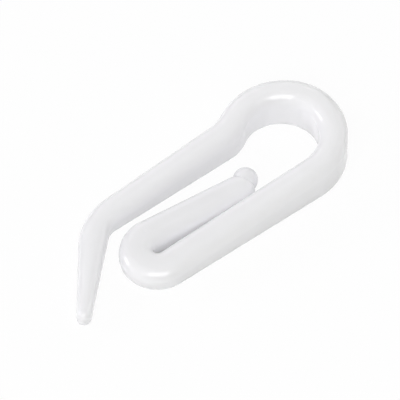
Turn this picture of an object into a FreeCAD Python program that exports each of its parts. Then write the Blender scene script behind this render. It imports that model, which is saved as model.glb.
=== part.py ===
import FreeCAD, Part

import math
import os

from FreeCAD import Vector

# Curtain hook, moulded in one piece from white nylon, in millimetres.
# It lies on its flat underside, +Z up, with both legs along X: the eye is at the +X end, the
# pointed tail at the -X end. The bar is highest at the eye and gets lower towards the tail.
# While it is drawn, the centre of the return bend in plan is the origin.

# Return bend at the -X end, and the legs
BEND_RADIUS = 3.49          # outer edge of the return bend
BAR_WIDTH = 2.6             # bar in plan, round the eye and along the upper leg
LEG_GAP = 1.32              # between the return bend and the upper leg

# Eye that hangs in the glider, and the neck above it
EYE_DISTANCE = 15.98        # centre of the return bend to centre of the eye, along X
EYE_RADIUS = 3.42           # inner edge of the eye
EYE_RISE = 1.14             # top of the eye above the upper edge of the upper leg
NECK_HOLLOW_RADIUS = 3.08   # outer edge of the bar, where it bends back into the upper leg
NECK_ROUND_RADIUS = 3.51    # inner edge of the bar at the same place

# Elbow and tail
ELBOW_WIDTH = 2.67          # bar in plan at the elbow
ELBOW_OUTER_RADIUS = 6.27
ELBOW_INNER_RADIUS = 1.72
ELBOW_OUTER_X = -0.24       # centre of the outer round
ELBOW_INNER_X = -1.07       # centre of the inner round
TIP_RADIUS = 0.69           # tail's tip in plan
TIP_X = -9.23               # centre of the tip
TIP_DROP = 8.64             # from the upper edge of the upper leg down to the centre of the tip

# Tongue that springs against the lower leg
SLIT_RADIUS = 0.35          # round end of the slit between tongue and leg
SLIT_X = 0.03
SLIT_Y = -0.01
TONGUE_END_RADIUS = 1.48    # tongue's end in plan
TONGUE_END_TO_EYE = 6.01    # its centre to the centre of the eye, along X
TONGUE_GAP = 0.2            # width that is left of the slit at the tongue's end

# Ball that stands out at the corner of the tongue
BALL_RADIUS = 1.15
BALL_AHEAD = 1.27           # centre of the tongue's end to centre of the ball, along X
BALL_ASIDE = 0.69           # the same along Y
BALL_ABOVE_TONGUE = 0.03    # how far the ball stands out above the tongue's top

# Heights above the underside, and the rounding along every edge
SLIT_HEIGHT = 2.67          # at the end of the slit, and all along the tongue
EYE_ABOVE_SLIT = 1.47       # how much higher the bar is at the centre of the eye
EDGE_ROUNDING = 1.0
NARROW_FLAT = 0.05          # half of what the rounding leaves flat, at least, on a narrow round end
LID_WALL = 0.05             # upright wall below the rounding of the top

LEFT = 1                    # an edge that turns left about the centre of its round
RIGHT = -1                  # an edge that turns right about it
SPARE = 1.0                 # how far a cutting solid stands past what it cuts
NEGLIGIBLE = 1e-6


class Round:
    """A stretch of the outline in plan that turns about a centre."""

    def __init__(self, x, y, radius, turn, rounding=EDGE_ROUNDING):
        self.centre = Vector(x, y, 0)
        self.radius = radius
        self.turn = turn
        self.rounding = rounding

    def point(self, heading):
        """Where the edge runs in the direction of the heading."""
        sideways = Vector(math.sin(heading), -math.cos(heading), 0)
        return self.centre + sideways * self.radius * self.turn

    def touches(self, point):
        across = Vector(point.x, point.y, 0) - self.centre
        return abs(across.Length - self.radius) < NEGLIGIBLE


def eye_outer_radius():
    return EYE_RADIUS + BAR_WIDTH


def upper_leg_bottom():
    return BEND_RADIUS + LEG_GAP


def upper_leg_top():
    return upper_leg_bottom() + BAR_WIDTH


def eye_centre():
    return Vector(EYE_DISTANCE, upper_leg_top() + EYE_RISE - eye_outer_radius(), 0)


def neck_round(level, radius, eye_radius, turn):
    """Round that leads from a level edge of the upper leg straight into an edge of the eye."""
    y = level + radius
    eye = eye_centre()
    x = eye.x - math.sqrt((eye_radius + radius) ** 2 - (y - eye.y) ** 2)
    return Round(x, y, radius, turn)


def elbow_round(x, level, radius, turn):
    """Round that leads from an edge of the upper leg down the tail."""
    return Round(x, level - radius, radius, turn)


def narrow_round(x, y, radius):
    """Round end of the tongue or the tail, where a full rounding may find no room."""
    return Round(x, y, radius, LEFT, min(EDGE_ROUNDING, radius - NARROW_FLAT))


def slit_round():
    return Round(SLIT_X, SLIT_Y, SLIT_RADIUS, RIGHT)


def eye_round():
    eye = eye_centre()
    return Round(eye.x, eye.y, EYE_RADIUS, RIGHT)


def lower_leg_top(x):
    """Upper edge of the lower leg, which runs from the slit to the eye."""
    slit, eye = slit_round(), eye_round()
    start = slit.centre.y - slit.radius
    end = eye.centre.y - eye.radius
    return start + (end - start) * (x - slit.centre.x) / (eye.centre.x - slit.centre.x)


def tongue_end():
    x = EYE_DISTANCE - TONGUE_END_TO_EYE
    y = lower_leg_top(x) + TONGUE_GAP + TONGUE_END_RADIUS
    return narrow_round(x, y, TONGUE_END_RADIUS)


def ball_centre():
    height = SLIT_HEIGHT + BALL_ABOVE_TONGUE - BALL_RADIUS
    return tongue_end().centre + Vector(BALL_AHEAD, BALL_ASIDE, height)


def outline_rounds():
    """Rounds of the whole outline in order, with the plastic on the left of the path."""
    eye = eye_centre()
    return [
        tongue_end(),
        Round(0, 0, BEND_RADIUS, LEFT),
        Round(eye.x, eye.y, eye_outer_radius(), LEFT),
        neck_round(upper_leg_top(), NECK_HOLLOW_RADIUS, eye_outer_radius(), RIGHT),
        elbow_round(ELBOW_OUTER_X, upper_leg_top(), ELBOW_OUTER_RADIUS, LEFT),
        narrow_round(TIP_X, upper_leg_top() - TIP_DROP, TIP_RADIUS),
        elbow_round(ELBOW_INNER_X, upper_leg_top() - ELBOW_WIDTH, ELBOW_INNER_RADIUS, RIGHT),
        neck_round(upper_leg_bottom(), NECK_ROUND_RADIUS, EYE_RADIUS, LEFT),
        eye_round(),
        slit_round(),
    ]


def heading_between(first, second):
    """Direction of the straight edge that runs from one round to the next."""
    way = second.centre - first.centre
    offset = (second.radius * second.turn - first.radius * first.turn) / way.Length
    return math.atan2(way.y, way.x) - math.asin(max(-1.0, min(1.0, offset)))


def outline():
    """The plan as a face: an arc for each round, and the straight edges between them."""
    rounds = outline_rounds()
    headings = [heading_between(a, b) for a, b in zip(rounds, rounds[1:] + rounds[:1])]
    edges = []
    for index, item in enumerate(rounds):
        start = headings[index - 1]
        sweep = (headings[index] - start) * item.turn % math.tau * item.turn
        first, middle, last = [item.point(start + sweep * share) for share in (0, 0.5, 1)]
        following = rounds[(index + 1) % len(rounds)].point(headings[index])
        touching = (following - last).Length < NEGLIGIBLE
        edges.append(Part.Arc(first, middle, following if touching else last).toShape())
        if not touching:
            edges.append(Part.LineSegment(last, following).toShape())
    return Part.Face(Part.Wire(edges))


def rounding_at(point):
    """Rounding of the edges that meet above or below a corner of the outline."""
    return min(item.rounding for item in outline_rounds() if item.touches(point))


def rounded(prism, level):
    """The prism with every edge at that level rounded."""
    rims = []
    for number, edge in enumerate(prism.Edges, 1):
        box = edge.BoundBox
        if max(abs(box.ZMin - level), abs(box.ZMax - level)) < NEGLIGIBLE:
            first, last = [rounding_at(vertex.Point) for vertex in edge.Vertexes]
            rims.append((number, first, last))
    document = FreeCAD.newDocument()
    square = document.addObject("Part::Feature")
    square.Shape = prism
    soft = document.addObject("Part::Fillet")
    soft.Base = square
    soft.Edges = rims
    document.recompute()
    return soft.Shape.Solids[0]


def eye_height():
    return SLIT_HEIGHT + EYE_ABOVE_SLIT


def slope():
    """How much higher the top gets for each millimetre towards the eye."""
    return EYE_ABOVE_SLIT / (EYE_DISTANCE - SLIT_X)


def lid_height():
    return EDGE_ROUNDING + LID_WALL


def sloping(solid):
    """The solid pushed up evenly towards the eye. At the end of the slit it stays as it is."""
    push = FreeCAD.Matrix()
    push.A31 = slope()
    push.A34 = -slope() * SLIT_X
    return solid.transformGeometry(push)


def tongue_room(floor):
    """Room above the floor height that holds the tongue and nothing else.

    It reaches from the middle of the slit to halfway between the return bend and the upper leg.
    """
    end = tongue_end()
    start = Vector(SLIT_X, SLIT_Y, floor)
    end_x = end.centre.x + end.radius + SPARE
    front = Vector(end_x, lower_leg_top(end_x) + TONGUE_GAP / 2, floor)
    back = BEND_RADIUS + LEG_GAP / 2
    corners = [start, front, Vector(end_x, back, floor), Vector(start.x, back, floor)]
    plan = Part.Face(Part.makePolygon(corners + corners[:1]))
    return plan.extrude(Vector(0, 0, eye_height()))


def headroom(plan, floor):
    """Block above the floor height that covers the whole plan."""
    box = plan.BoundBox
    corner = Vector(box.XMin - SPARE, box.YMin - SPARE, floor)
    return Part.makeBox(box.XLength + 2 * SPARE, box.YLength + 2 * SPARE, 2 * eye_height(), corner)


def ball():
    return Part.makeSphere(BALL_RADIUS, ball_centre())


def hook():
    """A body with rounded lower edges, cut off below the top, and a lid with rounded upper edges.

    The lid is drawn level, and then pushed up with the slope everywhere but on the tongue.
    """
    plan = outline()
    seam = SLIT_HEIGHT - lid_height()
    room = tongue_room(seam)
    body = rounded(plan.extrude(Vector(0, 0, 2 * eye_height())), 0)
    body = body.cut(sloping(headroom(plan, seam)).cut(room)).cut(room)
    lid = rounded(plan.translated(Vector(0, 0, seam)).extrude(Vector(0, 0, lid_height())), SLIT_HEIGHT)
    return body.fuse([lid.common(room), sloping(lid).cut(room), ball()])


def on_origin(solid):
    """The origin is under the middle of the hook."""
    box = solid.optimalBoundingBox(False)
    return solid.translated(Vector(-box.Center.x, -box.Center.y, -box.ZMin))


os.makedirs("parts", exist_ok=True)
hook_solid = on_origin(hook().Solids[0])
hook_solid.exportStep("parts/hook.step")

extent = hook_solid.optimalBoundingBox(False)
for name, size in (("length", extent.XLength), ("width", extent.YLength), ("height", extent.ZLength)):
    print(name, round(size, 3))
print("volume", round(hook_solid.Volume, 2), "valid", hook_solid.isValid(), "faces", len(hook_solid.Faces))
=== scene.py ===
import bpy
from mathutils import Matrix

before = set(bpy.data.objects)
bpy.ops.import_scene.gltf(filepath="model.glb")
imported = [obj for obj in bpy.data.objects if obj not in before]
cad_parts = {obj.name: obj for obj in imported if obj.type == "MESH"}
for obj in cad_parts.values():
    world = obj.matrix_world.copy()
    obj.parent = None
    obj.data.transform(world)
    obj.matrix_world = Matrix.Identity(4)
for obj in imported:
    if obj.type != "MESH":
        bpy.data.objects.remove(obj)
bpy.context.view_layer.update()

import math

import bpy
from mathutils import Matrix, Vector

# Camera, in degrees, metres and millimetres: it stands far off, because the photograph has
# hardly any perspective
CAMERA_AZIMUTH = -37.41
CAMERA_ELEVATION = 53.43
CAMERA_TARGET = Vector((-0.000244, -0.001239, 0.003379))
CAMERA_DISTANCE = 1.5
CLIP_START = 0.001
CLIP_END = 10.0
FRAME_WIDTH = 0.036             # what the picture is wide at the target
SENSOR_MM = 36.0

# Light: an even white room and softboxes, each with azimuth and elevation in degrees, width and
# height in metres, watts and colour
ROOM_STRENGTH = 0.16
SEEN_ROOM_STRENGTH = 1.0        # plain white, where the camera looks past the floor
LAMP_DISTANCE = 0.6
WHITE = (1.0, 1.0, 1.0)
LAVENDER = (0.93, 0.91, 1.0)
SOFTBOXES = {
    "front": (-45, 55, 0.4, 0.4, 2.25, WHITE),
    "key": (-135, 22, 0.2, 0.12, 0.95, LAVENDER),
    "side": (-95, 30, 0.6, 0.6, 0.4, WHITE),
    "right": (90, 25, 0.45, 0.45, 0.8, WHITE),
    "back": (150, 30, 0.45, 0.45, 0.6, WHITE),
}

# Floor: how much of it the camera sees as plain white, and the matt white of the rest
FLOOR_SIZE = 4.0
FLOOR_WHITE = 0.94
FLOOR_PALE = (0.95, 0.95, 0.95, 1)

# Nylon: two nearly equal whites in faint clouds, lengths in metres
NYLON_LIGHT = (0.955, 0.95, 0.985, 1)
NYLON_DARK = (0.925, 0.92, 0.96, 1)
NYLON_ROUGHNESS = (0.12, 0.18)
NYLON_IOR = 1.53
CLOUDS_PER_METRE = 180.0
CLOUD_DETAIL = 3.0
LIGHT_INSIDE = 1.0              # share of the light that spreads inside the nylon
LIGHT_DEPTH = 0.0025
LIGHT_SPREAD = (1.0, 1.0, 1.0)  # red, green and blue go equally deep
GRAIN_PER_METRE = 1600.0
GRAIN_DETAIL = 2.0
GRAIN_STRENGTH = 0.15
GRAIN_HEIGHT = 0.00001


def towards(azimuth, elevation):
    """Unit vector from the object to where a camera or lamp stands."""
    a, e = math.radians(azimuth), math.radians(elevation)
    return Vector((math.sin(a) * math.cos(e), -math.cos(a) * math.cos(e), math.sin(e)))


def aimed(obj, azimuth, elevation, distance):
    """Places a camera or lamp on a sphere round the target and turns it to face it."""
    back = towards(azimuth, elevation)
    right = Vector((0, 0, 1)).cross(back).normalized()
    up = back.cross(right)
    turn = Matrix((right, up, back)).transposed().to_4x4()
    obj.matrix_world = Matrix.Translation(CAMERA_TARGET + back * distance) @ turn


def make_camera():
    data = bpy.data.cameras.new("camera")
    data.sensor_width = SENSOR_MM
    data.lens = SENSOR_MM * CAMERA_DISTANCE / FRAME_WIDTH
    data.clip_start = CLIP_START
    data.clip_end = CLIP_END
    camera = bpy.data.objects.new("camera", data)
    bpy.context.scene.collection.objects.link(camera)
    aimed(camera, CAMERA_AZIMUTH, CAMERA_ELEVATION, CAMERA_DISTANCE)
    bpy.context.scene.camera = camera


def make_softbox(name, azimuth, elevation, width, height, watts, colour):
    data = bpy.data.lights.new(name, "AREA")
    data.shape = "RECTANGLE"
    data.size = width
    data.size_y = height
    data.energy = watts
    data.color = colour
    lamp = bpy.data.objects.new(name, data)
    bpy.context.scene.collection.objects.link(lamp)
    aimed(lamp, azimuth, elevation, LAMP_DISTANCE)


def node(tree, kind, **inputs):
    """A new shader node with the named inputs set, underscores standing for spaces."""
    made = tree.nodes.new(kind)
    for name, value in inputs.items():
        made.inputs[name.replace("_", " ")].default_value = value
    return made


def colours(sockets):
    """The colour sockets of a mix node, which has sockets of other kinds under the same names."""
    return [socket for socket in sockets if socket.type == "RGBA"]


def seen_directly(tree):
    """1 for rays from the camera, also by way of a reflection or through glass, and 0 for others."""
    path = node(tree, "ShaderNodeLightPath")
    seen = path.outputs["Is Camera Ray"]
    for name in ("Is Glossy Ray", "Is Transmission Ray"):
        either = node(tree, "ShaderNodeMath")
        either.operation = "MAXIMUM"
        tree.links.new(seen, either.inputs[0])
        tree.links.new(path.outputs[name], either.inputs[1])
        seen = either.outputs[0]
    return seen


def make_world():
    """The even white room: dim as a light, and plain white to the camera."""
    world = bpy.data.worlds.new("room")
    world.use_nodes = True
    tree = world.node_tree
    background = tree.nodes["Background"]
    background.inputs["Color"].default_value = (*WHITE, 1)
    level = node(tree, "ShaderNodeMapRange", To_Min=ROOM_STRENGTH, To_Max=SEEN_ROOM_STRENGTH)
    path = node(tree, "ShaderNodeLightPath")
    tree.links.new(path.outputs["Is Camera Ray"], level.inputs["Value"])
    tree.links.new(level.outputs["Result"], background.inputs["Strength"])
    bpy.context.scene.world = world


def floor_material():
    """Matt white paper. The camera sees it nearly white, with the hook's shadow kept."""
    material = bpy.data.materials.new("paper")
    material.use_nodes = True
    tree = material.node_tree
    tree.nodes.clear()
    out = node(tree, "ShaderNodeOutputMaterial")
    matt = node(tree, "ShaderNodeBsdfDiffuse", Color=FLOOR_PALE)
    white = node(tree, "ShaderNodeEmission", Color=(*WHITE, 1))
    share = node(tree, "ShaderNodeMath")
    share.operation = "MULTIPLY"
    share.inputs[1].default_value = FLOOR_WHITE
    mix = node(tree, "ShaderNodeMixShader")
    tree.links.new(seen_directly(tree), share.inputs[0])
    tree.links.new(share.outputs[0], mix.inputs[0])
    tree.links.new(matt.outputs[0], mix.inputs[1])
    tree.links.new(white.outputs[0], mix.inputs[2])
    tree.links.new(mix.outputs[0], out.inputs["Surface"])
    return material


def make_floor():
    bpy.ops.mesh.primitive_plane_add(size=FLOOR_SIZE, location=(0, 0, 0))
    floor = bpy.context.object
    floor.name = "floor"
    floor.data.materials.append(floor_material())


def nylon_material():
    """Moulded white nylon: glossy, light shines some way into it, and it is faintly clouded."""
    material = bpy.data.materials.new("white_nylon")
    material.use_nodes = True
    tree = material.node_tree
    shader = tree.nodes["Principled BSDF"]
    shader.inputs["IOR"].default_value = NYLON_IOR
    shader.inputs["Subsurface Weight"].default_value = LIGHT_INSIDE
    shader.inputs["Subsurface Scale"].default_value = LIGHT_DEPTH
    shader.inputs["Subsurface Radius"].default_value = LIGHT_SPREAD
    place = node(tree, "ShaderNodeTexCoord")
    clouds = node(tree, "ShaderNodeTexNoise", Scale=CLOUDS_PER_METRE, Detail=CLOUD_DETAIL)
    grain = node(tree, "ShaderNodeTexNoise", Scale=GRAIN_PER_METRE, Detail=GRAIN_DETAIL)
    for texture in (clouds, grain):
        tree.links.new(place.outputs["Object"], texture.inputs["Vector"])
    mix = node(tree, "ShaderNodeMix")
    mix.data_type = "RGBA"
    first, second = colours(mix.inputs)
    first.default_value = NYLON_DARK
    second.default_value = NYLON_LIGHT
    tree.links.new(clouds.outputs["Fac"], mix.inputs[0])
    tree.links.new(colours(mix.outputs)[0], shader.inputs["Base Color"])
    low, high = NYLON_ROUGHNESS
    roughness = node(tree, "ShaderNodeMapRange", To_Min=low, To_Max=high)
    tree.links.new(clouds.outputs["Fac"], roughness.inputs["Value"])
    tree.links.new(roughness.outputs["Result"], shader.inputs["Roughness"])
    bump = node(tree, "ShaderNodeBump", Strength=GRAIN_STRENGTH, Distance=GRAIN_HEIGHT)
    tree.links.new(grain.outputs["Fac"], bump.inputs["Height"])
    tree.links.new(bump.outputs["Normal"], shader.inputs["Normal"])
    return material


def dress_hook():
    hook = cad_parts["hook"]
    hook.data.materials.clear()
    hook.data.materials.append(nylon_material())


bpy.context.scene.view_settings.view_transform = "Standard"
make_camera()
make_world()
for name, settings in SOFTBOXES.items():
    make_softbox(name, *settings)
make_floor()
dress_hook()
